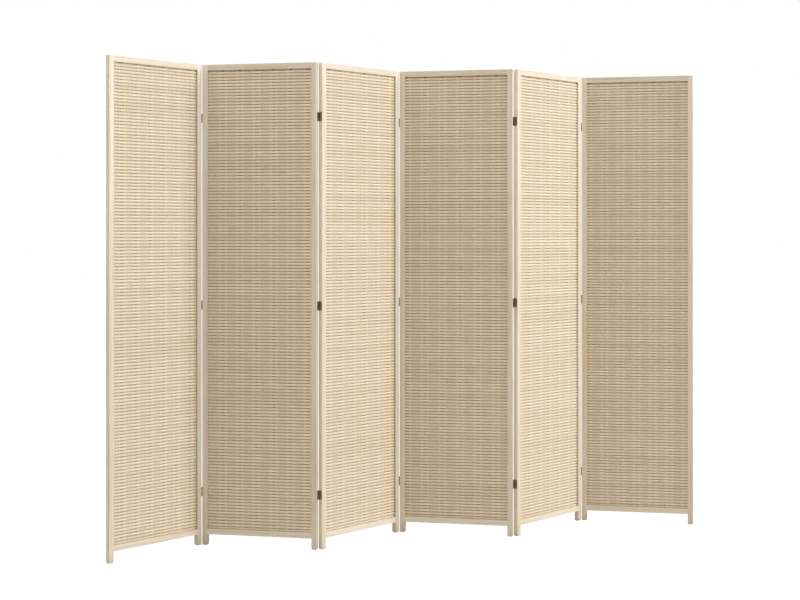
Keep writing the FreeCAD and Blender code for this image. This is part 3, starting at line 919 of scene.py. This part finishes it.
class FinishHinges(bpy.types.Operator):
    """Bronze the hinges, and their screws a little brighter"""

    bl_idname = "screen_divider.finish_hinges"
    bl_label = "Finish Hinges"
    bl_options = {"REGISTER", "UNDO"}

    def execute(self, context):
        colours = context.scene.screen_colours
        hinges = bronzed_brass("bronzed_brass", colours.bronze_patina, colours.bronze)
        screws = bronzed_brass("rubbed_brass", colours.bronze, colours.bronze_rubbed)
        for node in frame["nodes"]:
            if node.startswith("fold_"):
                dress_node(node, hinges)
            elif node.endswith("_screws"):
                dress_node(node, screws)
        return {"FINISHED"}


class SetStage(bpy.types.Operator):
    """Lay the floor, hang the lights and place the camera"""

    bl_idname = "screen_divider.set_stage"
    bl_label = "Set Stage"
    bl_options = {"REGISTER", "UNDO"}

    def execute(self, context):
        settings = context.scene.stage_settings
        lay_floor(context.scene.screen_colours)
        hang_lights(context.scene, settings)
        place_camera(context.scene, settings)
        return {"FINISHED"}


def lay_floor(colours):
    """A round floor, large enough to run past every view."""
    deselect_all()
    bpy.ops.mesh.primitive_circle_add(
        vertices=FLOOR_SIDES, radius=FLOOR_RADIUS, fill_type="NGON"
    )
    floor = start_piece("studio_floor")
    down = (0, 0, -FLOOR_THICKNESS)
    bpy.ops.mesh.extrude_region_move(TRANSFORM_OT_translate={"value": down})
    bpy.ops.mesh.select_all(action="SELECT")
    bpy.ops.mesh.normals_make_consistent(inside=False)
    end_editing()
    dress(floor, floor_paint("floor_paint", colours))


def hang_light(name, power, tint, place, target, width, height):
    """One soft rectangular light, aimed at a point."""
    deselect_all()
    bpy.ops.object.light_add(type="AREA", location=place)
    light = bpy.context.active_object
    light.name = name
    light.data.shape = "RECTANGLE"
    light.data.size = width
    light.data.size_y = height
    light.data.energy = power
    light.data.color = tint
    direction = Vector(target) - light.location
    light.rotation_euler = direction.to_track_quat("-Z", "Y").to_euler()


def hang_lights(scene, settings):
    """A soft key from the right, three weaker lights around the screen, and an even sky."""
    plain = WHITE[:3]
    # name, power, tint, place, the point it is aimed at, width, height
    lights = (
        ("key", settings.key_power, settings.key_tint, (7.37, -4.32, 3.8), (0.3, 0, 1.2), 1.8, 1.8),
        ("high_left", settings.left_power, plain, (-4.6, -1.2, 4.8), (-0.3, 0, 1.0), 2.5, 2.5),
        ("high_front", settings.front_power, plain, (-0.8, -3.0, 5.2), (0, 0, 1.0), 3.0, 2.0),
        ("back", settings.back_power, plain, (-3.2, 5.2, 3.4), (0, 0, 0.9), 3.0, 3.0),
    )
    for light in lights:
        hang_light(*light)

    world = bpy.data.worlds.new("studio_sky")
    scene.world = world
    world.use_nodes = True
    tree = world.node_tree
    tree.nodes.clear()
    # the camera sees plain white, and the screen is lit by a fainter, slightly warm sky
    faint = {"Color": opaque(settings.sky_tint), "Strength": settings.sky}
    lit = add(tree, "ShaderNodeBackground", faint)
    seen = add(tree, "ShaderNodeBackground", {"Color": WHITE, "Strength": 1})
    direct = add(tree, "ShaderNodeLightPath", out="Is Camera Ray")
    sky = add(tree, "ShaderNodeMixShader", {0: direct, 1: lit, 2: seen})
    add(tree, "ShaderNodeOutputWorld", {"Surface": sky})


def place_camera(scene, settings):
    """A level camera, its frame shifted down to take in the feet."""
    deselect_all()
    bpy.ops.object.camera_add(
        location=(-settings.eye_left, -settings.eye_front, settings.eye_height),
        rotation=(math.pi / 2, 0, -settings.eye_turn),
    )
    camera = bpy.context.active_object
    camera.name = "camera"
    camera.data.sensor_width = SENSOR_WIDTH
    camera.data.lens = settings.lens
    camera.data.shift_y = FRAME_SHIFT
    camera.data.clip_end = FARTHEST_VIEW
    scene.camera = camera
    scene.view_settings.view_transform = "Standard"


# --- panel and registration -----------------------------------------------------------------------


class ScreenPanel(bpy.types.Panel):
    """The steps of the folding screen, and its sizes and colours"""

    bl_idname = "VIEW3D_PT_woven_folding_screen"
    bl_label = "Folding Screen"
    bl_space_type = "VIEW_3D"
    bl_region_type = "UI"
    bl_category = "Screen"

    def draw(self, context):
        column = self.layout.column(align=True)
        for operator in OPERATORS:
            column.operator(operator.bl_idname)
        for name in PROPERTY_GROUPS:
            box = self.layout.box()
            group = getattr(context.scene, name)
            for prop in group.bl_rna.properties:
                if not prop.is_readonly and prop.identifier != "name":
                    box.prop(group, prop.identifier)


OPERATORS = (WeavePanels, LacePanels, FinishFrames, FinishHinges, SetStage)
PROPERTY_GROUPS = {
    "weave_sizes": WeaveSizes,
    "screen_colours": ScreenColours,
    "stage_settings": StageSettings,
}
CLASSES = (*PROPERTY_GROUPS.values(), *OPERATORS, ScreenPanel)


def register():
    """Make the screen's settings, steps and sidebar panel known to Blender."""
    for cls in CLASSES:
        bpy.utils.register_class(cls)
    for name, group in PROPERTY_GROUPS.items():
        setattr(bpy.types.Scene, name, PointerProperty(type=group))


def unregister():
    """Take them away again."""
    for name in PROPERTY_GROUPS:
        delattr(bpy.types.Scene, name)
    for cls in reversed(CLASSES):
        bpy.utils.unregister_class(cls)


def main():
    """Build the screen step by step."""
    register()
    bpy.ops.screen_divider.weave_panels()
    bpy.ops.screen_divider.lace_panels()
    bpy.ops.screen_divider.finish_frames()
    bpy.ops.screen_divider.finish_hinges()
    bpy.ops.screen_divider.set_stage()


if __name__ == "__main__":
    main()
